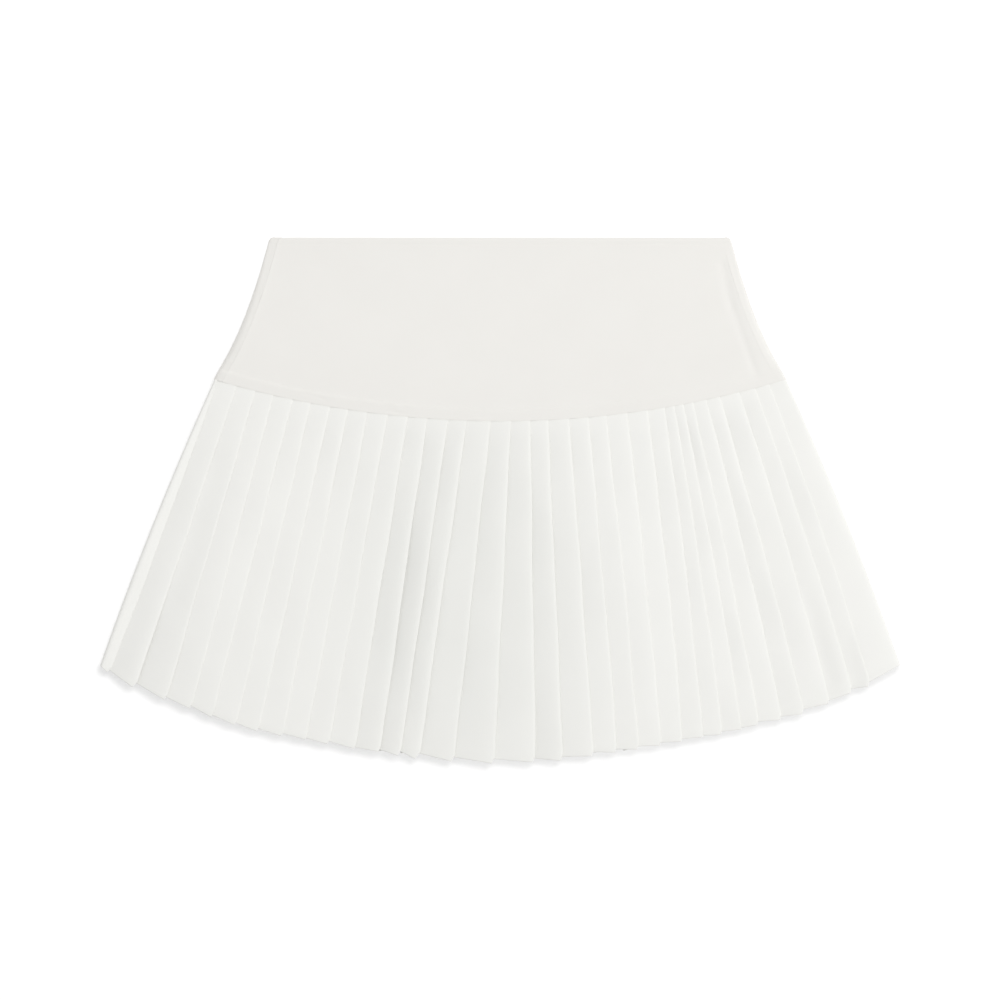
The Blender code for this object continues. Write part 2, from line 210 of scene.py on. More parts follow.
def back_folds():
    """The hidden panel has as many folds, a little uneven in their spacing and length."""
    first, last, count = FRONT_FOLDS[0], FRONT_FOLDS[-1], len(FRONT_FOLDS)
    rows = []
    for i in range(count):
        share = i / (count - 1)
        seam, hem, hang, step = (size * math.sin(pace * i) for size, pace in BACK_SWAYS)
        seam += between(first.seam, last.seam, share)
        hem += between(first.hem, last.hem, share)
        rows.append(Fold(seam, hem, BACK_HANG + hang, BACK_STEP + step, *[0.0] * 5))
    return tuple(rows)


Side = namedtuple("Side", "seam hem hang bow")    # the turned sides, in the same terms
LEFT_SIDE = Side(-SEAM_HALF + 0.5, -SKIRT_HALF, -1.0, 2.5)
RIGHT_SIDE = Side(SEAM_HALF - 0.5, SKIRT_HALF, -1.5, 2.5)

# Soft troughs (negative) and ridges in the laid cloth: a line from one place
# to another, how wide it is and how high.
Crease = namedtuple("Crease", "x level to_x to_level width height")
FRONT_CREASES = (
    Crease(-190, 150, -222, 250, 16, -0.9),
    Crease(-60, 170, -92, 300, 20, -0.5),
    Crease(-16, 160, -36, 330, 14, -0.6),
    Crease(-168, 160, -196, 260, 24, 0.5),
    Crease(-120, 200, -150, 310, 22, 0.4),
    Crease(84, 190, 104, 330, 22, 0.6),
    Crease(150, 200, 190, 280, 18, -0.6),
    Crease(196, 190, 236, 300, 20, 0.6),
    Crease(205, 240, 222, 300, 9, -0.6),
    Crease(232, 265, 243, 312, 8, -0.5),
)
BACK_CREASES = (
    Crease(-150, 150, -190, 300, 22, -0.8),
    Crease(-70, 180, -84, 320, 18, -0.6),
    Crease(-8, 140, 6, 260, 26, -0.5),
    Crease(60, 170, 92, 330, 16, -0.8),
    Crease(130, 160, 176, 270, 20, -0.6),
    Crease(196, 200, 226, 290, 12, -0.5),
)
YOKE_FRONT_CREASES = (
    Crease(148.5, 16, 155.4, 48, 4.6, -0.45),
    Crease(154.6, 44, 171.4, 92, 4.0, -0.50),
    Crease(150.0, 28, 155.0, 46, 6.0, -0.15),
)
YOKE_BACK_CREASES = (
    Crease(-120, 60, -40, 84, 12, -0.35),
    Crease(20, 40, 90, 70, 14, -0.3),
    Crease(60, 96, 140, 86, 9, -0.3),
)


# ---------------------------------------------------------------- shapes

def half_width(level):
    """Half of the garment's width at a level, along a smooth line through OUTLINE."""
    rows = OUTLINE
    last = len(rows) - 2
    i = max(0, min(last, sum(1 for row in rows if row.level <= level) - 1))
    a, b = rows[i], rows[i + 1]
    before, after = rows[max(0, i - 1)], rows[min(last + 1, i + 2)]
    span = b.level - a.level
    slope_a = (b.half_width - before.half_width) / (b.level - before.level)
    slope_b = (after.half_width - a.half_width) / (after.level - a.level)
    s = (level - a.level) / span
    return (between(a.half_width, b.half_width, eased(s))
            + span * s * (1 - s) * ((1 - s) * slope_a - s * slope_b))


def seam_level(x):
    """The yoke's lower edge is an arc, lowest at the middle."""
    return SEAM_LEVEL - SEAM_RADIUS + math.sqrt(max(0.0, SEAM_RADIUS ** 2 - x ** 2))


def hem_level(x):
    return HEM_LEVEL - HEM_RADIUS + math.sqrt(HEM_RADIUS ** 2 - x ** 2)


def loft(share):
    """How far a face rises at a share of the way down the pleats."""
    i = max(k for k, row in enumerate(LOFTS[:-1]) if row.share <= share)
    a, b = LOFTS[i:i + 2]
    return between(a.rise, b.rise, (share - a.share) / (b.share - a.share))


def place(x, level, height):
    return Vector((x * MM, (WAIST_Y - level) * MM, height * MM))


def crease_height(creases, x, level):
    """Summed height of the soft troughs and ridges at one place, or at arrays of places."""
    total = np.zeros_like(x)
    for crease in creases:
        run = np.array((crease.to_x - crease.x, crease.to_level - crease.level))
        length = np.linalg.norm(run)
        along = ((x - crease.x) * run[0] + (level - crease.level) * run[1]) / length ** 2
        off = ((x - crease.x) * run[1] - (level - crease.level) * run[0]) / length
        fade = eased_all(np.minimum(along, 1 - along) * 4 + 0.5)
        total = total + crease.height * np.exp(-(off / crease.width) ** 2 * 2) * fade
    return total


garment = bpy.data.collections.new("Dressed skort")
bpy.context.scene.collection.children.link(garment)


def linked(name, data):
    """A new object of the garment."""
    item = bpy.data.objects.new(name, data)
    garment.objects.link(item)
    return item


def plain_mesh(item):
    """The item's mesh as its modifiers leave it, as plain data. They are then removed."""
    bpy.context.view_layer.update()
    mesh = bpy.data.meshes.new_from_object(item.evaluated_get(bpy.context.evaluated_depsgraph_get()))
    item.modifiers.clear()
    return mesh


# ---------------------------------------------------------------- node trees

class Nodes:
    """Adds nodes to a tree, their inputs given as sockets or plain values."""

    def __init__(self, tree):
        self.tree = tree

    def add(self, kind, *values, **settings):
        """A node with its settings. A dict gives inputs by name, and other values the first ones in order."""
        node = self.tree.nodes.new(kind)
        for key, setting in settings.items():
            setattr(node, key, setting)
        if values and isinstance(values[0], dict):
            return self.fill(node, values[0])
        for socket, value in zip([socket for socket in node.inputs if socket.enabled], values):
            self.feed(socket, value)
        return node

    def fill(self, node, values):
        for name, value in values.items():
            self.feed(node.inputs[name], value)
        return node

    def feed(self, socket, value):
        if isinstance(value, bpy.types.NodeSocket):
            self.tree.links.new(value, socket)
        else:
            socket.default_value = value

    def math(self, operation, *values):
        return self.add("ShaderNodeMath", *values, operation=operation).outputs[0]

    def vector(self, operation, *values):
        return self.add("ShaderNodeVectorMath", *values, operation=operation).outputs[0]

    def noise(self, vector, scale, detail):
        return self.add("ShaderNodeTexNoise", {"Vector": vector, "Scale": scale, "Detail": detail}).outputs[0]

    def mix(self, factor, first, second, **settings):
        """A blend of two colours, each a socket or red, green, blue and alpha."""
        colours = {"Factor": factor, "A": first, "B": second}
        return self.add("ShaderNodeMix", colours, data_type="RGBA", **settings).outputs["Result"]

    def coat(self, colour, height, bump, depth, looks):
        """Feeds a material's shader: its colour, a bump made by a height, and its other looks."""
        raised = self.add("ShaderNodeBump", {"Strength": bump, "Distance": depth, "Height": height})
        looks = {"Base Color": colour, "Normal": raised.outputs[0], **looks}
        self.fill(self.tree.nodes["Principled BSDF"], looks)


class Group(Nodes):
    """A node group, built in order, whose inputs and outputs are given by name and type."""

    def __init__(self, name, kind, inputs, outputs):
        super().__init__(bpy.data.node_groups.new(name, kind))
        for side, sockets in (("INPUT", inputs), ("OUTPUT", outputs)):
            for label, value_type in sockets.items():
                self.tree.interface.new_socket(label, in_out=side, socket_type="NodeSocket" + value_type)
        self.inputs = self.tree.nodes.new("NodeGroupInput").outputs
        self.outputs = self.tree.nodes.new("NodeGroupOutput").inputs

    def end_mesh(self, geometry, material):
        """Ends a geometry tree with a plain, smooth mesh of one material."""
        real = self.add("GeometryNodeRealizeInstances", geometry).outputs[0]
        smooth = self.add("GeometryNodeSetShadeSmooth", real).outputs[0]
        coated = self.add("GeometryNodeSetMaterial", {"Geometry": smooth, "Material": material})
        self.feed(self.outputs["Geometry"], coated.outputs[0])
        return self.tree


# A point of a pleat is a blend of the pleat's corners. Each corner is a place
# for every pleat at every station; the profile holds the blend.
CORNERS = ("start", "knee_low", "knee_high", "fold", "under", "inner", "tuck", "next", "swell")
WEIGHTS = ("weights_a", "weights_b", "weights_c")
FACE_STEPS = 11
TURN_STEPS = 3
INNER_STEPS = 2


def pleat_profile():
    """Blends for the points of one pleat: its face, the turn at its fold, the
    underlay, the inner turn and the tucked layer that leads to the next face."""
    rows = []

    def point(**weights):
        rows.append([weights.get(corner, 0.0) for corner in CORNERS])

    for k in range(FACE_STEPS + 1):
        point(**dict(zip(("start", "knee_low", "knee_high", "fold"), cubic(k / FACE_STEPS))))
    for first, second, steps, side in (("fold", "under", TURN_STEPS, 1), ("inner", "tuck", INNER_STEPS, -1)):
        for k in range(1, steps + 1):
            t = k / steps
            near = (1 - t) ** 2 * (1 + 2 * t)
            point(**{first: near, second: 1 - near, "swell": side * 3 * t * (1 - t)})
        if side > 0:
            point(under=0.5, inner=0.5)
            point(inner=1.0)
    point(tuck=0.5, next=0.5)
    return rows


def profile_object():
    rows = pleat_profile()
    mesh = bpy.data.meshes.new("Pleat profile")
    mesh.from_pydata([(0.0, 0.0, 0.0)] * len(rows), [], [])
    for k, name in enumerate(WEIGHTS):
        values = [weight for row in rows for weight in row[3 * k:3 * k + 3]]
        mesh.attributes.new(name, "FLOAT_VECTOR", "POINT").data.foreach_set("vector", values)
    return linked("Pleat profile", mesh)


def pleat_tree():
    """Geometry Nodes that loft knife pleats through their corners."""
    inputs = dict(Corners="Geometry", Profile="Object", Pleats="Int", Stations="Int", Cloth="Material")
    tree = Group("Knife pleats", "GeometryNodeTree", inputs, dict(Geometry="Geometry"))
    corners, pleats, stations = tree.inputs["Corners"], tree.inputs["Pleats"], tree.inputs["Stations"]
    profile = tree.add("GeometryNodeObjectInfo", tree.inputs["Profile"]).outputs["Geometry"]
    points = tree.add("GeometryNodeAttributeDomainSize", profile).outputs["Point Count"]
    across = tree.math("ADD", tree.math("MULTIPLY", pleats, points), 1.0)
    grid = tree.add("GeometryNodeMeshGrid", 1.0, 1.0, across, stations).outputs["Mesh"]
    index = tree.add("GeometryNodeInputIndex").outputs[0]
    column = tree.math("FLOOR", tree.math("DIVIDE", tree.math("ADD", index, 0.5), stations))
    station = tree.math("SUBTRACT", index, tree.math("MULTIPLY", column, stations))
    pleat = tree.math("FLOOR", tree.math("DIVIDE", tree.math("ADD", column, 0.5), points))
    step = tree.math("SUBTRACT", column, tree.math("MULTIPLY", pleat, points))
    here = tree.math("ADD", tree.math("MULTIPLY", station, tree.math("ADD", pleats, 1.0)), pleat)
    following = tree.math("ADD", here, 1.0)

    def sample(geometry, name, at):
        value = tree.add("GeometryNodeInputNamedAttribute", {"Name": name}, data_type="FLOAT_VECTOR")
        source = {"Geometry": geometry, "Value": value.outputs["Attribute"], "Index": at}
        return tree.add("GeometryNodeSampleIndex", source, data_type="FLOAT_VECTOR", domain="POINT",
                        clamp=True).outputs["Value"]

    weights = []
    for name in WEIGHTS:
        weights += list(tree.add("ShaderNodeSeparateXYZ", sample(profile, name, step)).outputs)
    total = None
    for corner, weight in zip(CORNERS, weights):
        spot = sample(corners, "start", following) if corner == "next" else sample(corners, corner, here)
        part = tree.vector("SCALE", spot, weight)
        total = tree.vector("ADD", total, part) if total else part
    moved = tree.add("GeometryNodeSetPosition", {"Geometry": grid, "Position": total})
    return tree.end_mesh(moved.outputs[0], tree.inputs["Cloth"])


def run_tree(mesh, group, **values):
    """What the tree makes of a mesh, as plain data. Its inputs are set by their identifiers."""
    host = linked("Host", mesh)
    modifier = host.modifiers.new("Maker", "NODES")
    modifier.node_group = group
    for item in group.interface.items_tree:
        if item.item_type == "SOCKET" and item.in_out == "INPUT" and item.name in values:
            modifier[item.identifier] = values[item.name]
    made = plain_mesh(host)
    bpy.data.objects.remove(host)
    return made


# ---------------------------------------------------------------- pleats

WAVES = ((0.6, 1.7, 0.37), (0.4, 3.3, 0.71))    # of a waver: size, turns down a fold, turns from fold to fold
LINE_WAVER = 0.35         # sideways waver of a fold's line
DEPTH_WAVER = 0.28        # and of the depth beside it
FLARE_START = 0.985       # from here down a fold's corner leans out
FLARE_SHARE = 0.7         # by this share of the step beside it

# The curve of a face, from its tucked start to its fold, by its four corners:
# shares of the face's width and of its rise, and what the roll at the fold adds.
Knee = namedtuple("Knee", "along rise roll")
KNEE_LOW = Knee(0.27, 0.33, 0.0)
KNEE_HIGH = Knee(0.80, 0.93, 0.9)
FACE_CURVE = np.array((Knee(0.0, 0.0, 0.0), KNEE_LOW, KNEE_HIGH, Knee(1.0, 1.0, -1.0)))
LEAST_DEPTH = 0.54
LEAST_LAYER = 0.20
LAYER_DEPTH = 2.0         # in a deeper pleat the layers lie no further apart than at this depth
UNDERLAY_LIMIT = 0.6      # an underlay takes at most this share of its face's width,
UNDERLAY_MARGIN = 1.5     # less this
FIRST_UNDERLAY = 0.4      # the first reaches back by at least this share of the way to the side,
FIRST_MARGIN = 2.8        # and up to this distance from it
HEM_TUCK = 0.7            # a hidden layer ends this much above the one over it

# The turned sides. Before the first fold the cloth climbs a wall and rolls over
# its crown; after the last face it bends at a shoulder and goes down a wall.
FRONT_CROWN = 2.5         # the front's crown stands this much above its first fold
CROWN_IN, CROWN_UP = 0.3, 0.75    # the crown's roll is drawn in and up by these
SHOULDER_IN, SHOULDER_HEIGHT = 1.3, -0.35
WALL_HEAD = -1.7          # where the last wall begins
SIDE_SWELL = 0.65

STATIONS = 62
HEM_ROLL = ((0.0016, 0.05), (0.0, 0.5))    # how far above the hem its edge turns down, and by how much


def waver(phase, share):
    """A slow, uneven wave down a fold, from -1 to 1, that dies out at the seam."""
    wave = sum(size * math.sin(2 * math.pi * (turns * share + shift * phase)) for size, turns, shift in WAVES)
    return wave * eased(share * 6)


class Line:
    """A line on a panel, from its seam to its hem, with an outward bow and a slight waver."""

    def __init__(self, seam, hem, hem_at, bow, phase=None):
        self.top = Vector((seam, seam_level(seam) + SEAM_GAP))
        self.bottom = Vector((hem, hem_at))
        self.bow = bow if hem > 0 else -bow
        self.phase = phase

    def at(self, share):
        point = self.top.lerp(self.bottom, share)
        point.x += 4 * share * (1 - share) * self.bow
        if self.phase is not None:
            point.x += LINE_WAVER * waver(self.phase, share)
        return point

    def across(self):
        run = (self.bottom - self.top).normalized()
        return Vector((run.y, -run.x))

    def beside(self, seam_shift, hem_shift, hem_drop=0.0):
        side = self.across()
        moved = self.bottom + side * hem_shift
        copy = Line(self.top.x + side.x * seam_shift, moved.x, moved.y + hem_drop, 0.0, self.phase)
        copy.bow = self.bow
        return copy


def station(j):
    """A station's share of the way down, and how far its layers turn down at the hem."""
    plain = STATIONS - 1 - len(HEM_ROLL)
    if j <= plain:
        return j / plain * (1 - 2 * HEM_ROLL[0][0]), 0.0
    above, drop = HEM_ROLL[j - plain - 1]
    return 1 - above, drop


class Pleats:
    """The corners of every pleat of a panel. Heights are outward from the panel's face."""

    def __init__(self, folds, face, outward, floor, crown):
        self.folds, self.face, self.outward, self.crown = folds, face, outward, crown
        self.floor = (floor - face) * outward
        self.lines = [self.line_of(fold, i) for i, fold in enumerate(folds)]
        self.left = self.line_of(LEFT_SIDE)
        self.right = self.line_of(RIGHT_SIDE)

    @staticmethod
    def line_of(row, phase=None):
        return Line(row.seam, row.hem, hem_level(row.hem) + row.hang, row.bow, phase)

    def lift(self, i, share):
        return self.folds[i].lift * eased(share * 2) + LIFT_WAVER * (waver(i + 0.5, share) - 1)

    def depth(self, i, share):
        """How far the face after fold i starts below it."""
        fold = self.folds[i]
        if share < 0.5:
            deeper = between(fold.deep_top, fold.deep_middle, eased(share * 2))
        else:
            deeper = between(fold.deep_middle, fold.deep_hem, eased(share * 2 - 1))
        deeper += DEPTH_WAVER * waver(2.3 * i, share)
        return max(LEAST_DEPTH, loft(share) + deeper * eased(share * 14))

    def layer(self, i, share):
        return max(LEAST_LAYER, LAYER_SHARE * min(self.depth(i, share), LAYER_DEPTH))

    def roll(self, i, share):
        if i == 0:
            return 0.0
        return LEAST_ROLL + ROLL_SHARE * (self.depth(i, share) - LEAST_DEPTH)

    def valley(self, i, share):
        """Height where the face after fold i starts."""
        return self.lift(i, share) - self.depth(i, share)

    def face_height(self, i, share, along):
        """Height of face i at a share of its width."""
        t = along
        for _ in range(6):
            t += (along - np.dot(cubic(t), FACE_CURVE)[0]) * 0.7
        rise, rolled = np.dot(cubic(t), FACE_CURVE)[1:]
        return between(self.valley(i - 1, share), self.lift(i, share), rise) + self.roll(i, share) * rolled

    def corners(self, i, share):
        """The corners of pleat i, or of the turned side after the last pleat."""
        edge, last = PLEAT_WALL / 2, len(self.folds) - 1
        if i == 0:
            begin, wall = self.left.at(share), self.left.beside(edge, edge).at(share)
            crown = self.lift(0, share) + self.crown * eased(share * 4)
            start = (wall, self.floor)
            knees = [(wall, crown + CROWN_UP), (wall + Vector((CROWN_IN, 0.0)), crown)]
        else:
            begin = self.lines[i - 1].beside(TUCK_START, TUCK_START, -self.folds[i - 1].step).at(share)
            start = (begin, self.valley(i - 1, share))
        if i > last:
            brow = self.right.beside(-SHOULDER_IN, -SHOULDER_IN).at(share)
            wall = self.right.beside(-edge, -edge).at(share)
            fold, under = (brow, SHOULDER_HEIGHT), (wall, WALL_HEAD)
            inner, tuck = (wall, between(WALL_HEAD, self.floor, 0.5)), (wall, self.floor)
            swell = self.right.across() * SIDE_SWELL
        else:
            turn, side = self.lines[i].at(share), self.lines[i].across()
            layer, reach = self.layer(i, share), self.underlay(i, share)
            pressed = self.lift(i, share) - self.roll(i, share)
            above = self.face_height(i, share, 1 - reach / self.width(i, share)) if i else pressed
            raised = Vector((0.0, HEM_TUCK * share))
            lean = side * FLARE_SHARE * self.folds[i].step
            lean *= eased((share - FLARE_START) / (1 - FLARE_START))
            back = turn.lerp(begin, reach / (turn - begin).dot(side)) - raised
            fold, under = (turn - lean, pressed), (turn - lean, pressed - layer)
            inner, tuck = (back, above - layer), (back - raised, above - 2 * layer)
            swell = side * (layer / 2 * 4 / 3)    # the turn takes up to three quarters of it
        if i:
            low, nearest = start[1], min(i, last)
            rise, roll = self.lift(nearest, share) - low, self.roll(nearest, share)
            knees = [(begin.lerp(fold[0], knee.along), low + rise * knee.rise + roll * knee.roll)
                     for knee in (KNEE_LOW, KNEE_HIGH)]
        return dict(start=start, knee_low=knees[0], knee_high=knees[1], fold=fold, under=under, inner=inner,
                    tuck=tuck, swell=swell)

    def width(self, i, share):
        return (self.lines[i].at(share) - self.lines[i - 1].at(share)).dot(self.lines[i].across())

    def underlay(self, i, share):
        """How far the underlay of fold i reaches back beneath its face."""
        if i == 0:
            reach = (self.lines[0].at(share) - self.left.at(share)).dot(self.left.across())
            return max(FIRST_UNDERLAY * reach, reach - FIRST_MARGIN)
        width = self.width(i, share)
        return min((PLEAT_CLOTH - width) / 2, UNDERLAY_LIMIT * width - UNDERLAY_MARGIN)

    def spot(self, corner):
        flat, height = corner
        return place(flat.x * self.outward, flat.y, self.face + self.outward * height)

    def corner_mesh(self):
        """A mesh of points, one for each pleat at each station, that carries the corners."""
        columns = {name: [] for name in CORNERS if name != "next"}
        count = len(self.folds) + 1
        for j in range(STATIONS):
            share, drop = station(j)
            for i in range(count):
                found = self.corners(i, share)
                swell = found.pop("swell")
                for name, (flat, height) in found.items():
                    columns[name].extend(self.spot((flat, max(height - drop, self.floor))))
                columns["swell"].extend((swell.x * self.outward * MM, -swell.y * MM, 0.0))
            for values in columns.values():
                values.extend(values[-3:])
            columns["start"][-3:] = columns["tuck"][-3:]
        mesh = bpy.data.meshes.new("Pleat corners")
        mesh.from_pydata([(0.0, 0.0, 0.0)] * ((count + 1) * STATIONS), [], [])
        for name, values in columns.items():
            mesh.attributes.new(name, "FLOAT_VECTOR", "POINT").data.foreach_set("vector", values)
        return mesh


Cut = namedtuple("Cut", "width length area")


def vertex_places(mesh):
    places = np.empty(len(mesh.vertices) * 3)
    mesh.vertices.foreach_get("co", places)
    return places


def flatten(mesh, columns, rows):
    """A UV map in metres along the cloth, for vertices in columns from side to side.
    It keeps the sheet's flat size, measured along its cloth before it has a thickness."""
    places = vertex_places(mesh).reshape(columns, rows, 3)
    across = np.linalg.norm(np.diff(places, axis=0), axis=2)
    down = np.linalg.norm(np.diff(places, axis=1), axis=2)
    flat = np.zeros((columns, rows, 2))
    flat[1:, :, 0] = np.cumsum(across, axis=0)
    flat[:, :, 0] -= flat[-1:, :, 0] / 2
    flat[:, 1:, 1] = np.cumsum(down, axis=1)
    loops = np.empty(len(mesh.loops), int)
    mesh.loops.foreach_get("vertex_index", loops)
    layer = mesh.uv_layers.get("Cloth") or mesh.uv_layers.new(name="Cloth")
    layer.data.foreach_set("uv", flat.reshape(-1, 2)[loops].ravel())


def raise_by(mesh, creases, outward):
    """Moves a mesh's vertices by the soft troughs and ridges of the laid cloth."""
    places = vertex_places(mesh).reshape(-1, 3)
    x, level = places[:, 0] / MM, WAIST_Y - places[:, 1] / MM
    seam = SEAM_LEVEL - SEAM_RADIUS + np.sqrt(SEAM_RADIUS ** 2 - np.minimum(np.abs(x), SEAM_HALF) ** 2)
    shift = crease_height(creases, x, level) - SEAM_SINK * eased_all(1 - (level - seam) / SINK_REACH)
    places[:, 2] += outward * shift * MM
    mesh.vertices.foreach_set("co", places.ravel())


CUT_EDGE = math.radians(70)    # a sharper bend than this is the cloth's cut edge
MERGE_WITHIN = 1e-6            # in metres


def walled(name, mesh, wall):
    """A finished piece: the mesh given its wall's thickness, merged and turned outwards."""
    item = linked(name, mesh)
    solid = item.modifiers.new("Wall", "SOLIDIFY")
    solid.thickness = wall * MM
    solid.offset = 0.0
    solid.use_quality_normals = True
    item.data = made = plain_mesh(item)
    made.name = name
    shape = bmesh.new()
    shape.from_mesh(made)
    bmesh.ops.remove_doubles(shape, verts=shape.verts, dist=MERGE_WITHIN)
    if shape.calc_volume(signed=True) < 0:
        bmesh.ops.reverse_faces(shape, faces=shape.faces)
    for face in shape.faces:
        face.smooth = True
    for edge in shape.edges:
        edge.smooth = edge.calc_face_angle(0.0) < CUT_EDGE
    shape.to_mesh(made)
    shape.free()
    return item


def pleated_panel(name, pleats, creases, tree, profile, cloth):
    count = len(pleats.folds) + 1
    mesh = run_tree(pleats.corner_mesh(), tree, Profile=profile, Pleats=count, Stations=STATIONS, Cloth=cloth)
    flatten(mesh, count * len(profile.data.vertices) + 1, STATIONS)
    raise_by(mesh, creases, pleats.outward)
    return walled(name, mesh, PLEAT_WALL)


# ---------------------------------------------------------------- yokes

YOKE_COLUMNS = 190
YOKE_ROWS = 72
SIDE_STEPS = 12
CLOSER_DOWN, CLOSER_ACROSS = 0.11, 0.12    # how much closer together their points lie near the edges
WAIST_CORNER = 2.2

STITCH_LEVEL = 4.0
STITCH_PRESS = 0.8        # the waist's stitches press a groove this wide to each side,
FRONT_GROOVE = 0.16       # and this deep in the front
BACK_GROOVE = 0.12
WAIST_ROLL, WAIST_ROLL_REACH = 0.3, 0.9    # the turned waist edge falls away by this, over this length
SEAM_FALL = 0.25          # the allowance slopes down to its seam by this
SEAM_NIP, SEAM_NIP_REACH = 0.05, 0.8       # and is nipped in beside it by this, over this length
RIDGE_EDGE = 1.6          # width of the slope at the allowance's upper edge
FLAT_ALLOWANCE = 0.35     # share of its rise that the allowance keeps at the wearer's left

SIDE_RISE_REACH = 1.7     # how far from a side seam its rise fades
SIDE_TUCK, SIDE_TUCK_REACH = 0.03, 1.2     # the yoke's edges sink into their side seam
DENT_FADE = 3.2           # the front's creases are at full depth this far from a side seam
BAND_FADE = 2.5           # and the band beyond the left seam has fallen this far from it
BACK_FIELD = 0.30         # the back yoke's field stands off the surface by this
FIELD_START, FIELD_SLOPE = 1.0, 6.0        # from this level down, within this length
FIELD_SIDE = 18.0         # and this far in from each side

# Small puckers along the top of the turned-up allowance and its seam.
Pucker = namedtuple("Pucker", "x above_seam length height")
PUCKER_WIDTH = 0.9
PUCKERS = (
    Pucker(-90, 7.5, 6, 0.35),
    Pucker(-71, 7.0, 7, 0.30),
    Pucker(-60, 7.0, 4, 0.30),
    Pucker(-15, 1.2, 6, 0.35),
    Pucker(-128, 5.5, 9, -0.25),
    Pucker(-120, 4.5, 6, -0.25),
    Pucker(-70, 2.5, 7, -0.35),
    Pucker(-112, 8.5, 5, 0.20),
)


def allowance_rise(x):
    """The allowance lies flatter towards the wearer's left."""
    return ALLOWANCE_RISE * between(1.0, FLAT_ALLOWANCE, eased((x + 10) / 120))


def on_allowance(above):
    """1 over the allowance, 0 over the rest of the yoke, at a distance above the seam."""
    return eased((ALLOWANCE + RIDGE_EDGE / 2 - above) / RIDGE_EDGE)


def stitch_groove(level):
    return math.exp(-((level - STITCH_LEVEL) / STITCH_PRESS) ** 2)


def yoke_relief(x, level):
    """Height that the allowance, the turned waist edge and the puckers add to the front yoke."""
    above = seam_level(x) - level
    ridge = allowance_rise(x) * on_allowance(above)
    roll = -SEAM_FALL * (1 - eased(above / ALLOWANCE)) - SEAM_NIP * (1 - eased(above / SEAM_NIP_REACH))
    edge = -FRONT_GROOVE * stitch_groove(level) - WAIST_ROLL * (1 - eased(level / WAIST_ROLL_REACH))
    relief = ridge + roll + edge
    for pucker in PUCKERS:
        along, up = (x - pucker.x) / pucker.length, (above - pucker.above_seam) / PUCKER_WIDTH
        relief += pucker.height * math.exp(-along ** 2 * 3 - up ** 2)
    return relief


def side_seam_rise(across, off):
    """How far the cloth beside a side seam stands above the rest, at a distance from the seam."""
    return (LEFT_SEAM_RISE if across > 0 else RIGHT_SEAM_RISE) * math.exp(-(off / SIDE_RISE_REACH) ** 2)


def yoke_height(x, share):
    return between(YOKE_WAIST, YOKE_SEAM - allowance_rise(x), eased(share))


def back_relief(x, level, beside):
    """How far the back yoke's field stands off the surface that its allowance lies on."""
    off_allowance = 1 - on_allowance(seam_level(x) - level)
    field = BACK_FIELD * off_allowance * eased((level - FIELD_START) / FIELD_SLOPE)
    dents = crease_height(YOKE_BACK_CREASES, x, level)
    return (field + BACK_GROOVE * stitch_groove(level) - dents) * eased(beside / FIELD_SIDE)


def yoke_share(k):
    """Shares of the way from waist edge to seam, closer together near both edges."""
    t = k / (YOKE_ROWS - 1)
    return t - CLOSER_DOWN * math.sin(2 * math.pi * t)


def yoke_across(k):
    """Places across the yoke from -1 to 1, closer together near both sides."""
    t = between(-1.0, 1.0, k / YOKE_COLUMNS)
    return t + CLOSER_ACROSS * math.sin(math.pi * t)


def yoke_spot(across, margin, share):
    """X and level of a point of the yoke: across is -1 to 1 between lines a margin inside its edges."""
    level = seam_level(across * (SEAM_HALF - margin)) * share
    off = max(0.0, WAIST_CORNER - level)
    edge = half_width(seam_level(SEAM_HALF) * share) - WAIST_CORNER + math.sqrt(WAIST_CORNER ** 2 - off ** 2)
    return across * (edge - margin), level


def sheet_piece(name, rows, cloth, wall):
    """A finished piece through rows of points."""
    columns = list(zip(*rows))
    count, depth = len(columns), len(rows)
    points = [point for column in columns for point in column]
    faces = [(c * depth + r, c * depth + r + 1, (c + 1) * depth + r + 1, (c + 1) * depth + r)
             for c in range(count - 1) for r in range(depth - 1)]
    mesh = bpy.data.meshes.new(name)
    mesh.from_pydata(points, [], faces)
    mesh.materials.append(cloth)
    flatten(mesh, count, depth)
    return walled(name, mesh, wall)


def front_yoke(cloth):
    rows = []
    for share in map(yoke_share, range(YOKE_ROWS)):
        row = []
        for across in map(yoke_across, range(YOKE_COLUMNS + 1)):
            x, level = yoke_spot(across, SIDE_SEAM_INSET + SEAM_GAP, share)
            beside = (1 - abs(across)) * SEAM_HALF
            tuck = side_seam_rise(across, beside) - SIDE_TUCK * (1 - eased(beside / SIDE_TUCK_REACH))
            dent = crease_height(YOKE_FRONT_CREASES, x, level) * eased(beside / DENT_FADE)
            row.append(place(x, level, yoke_height(x, share) + yoke_relief(x, level) + tuck + dent))
        rows.append(row)
    return sheet_piece("front_yoke_knit", rows, cloth, YOKE_WALL)


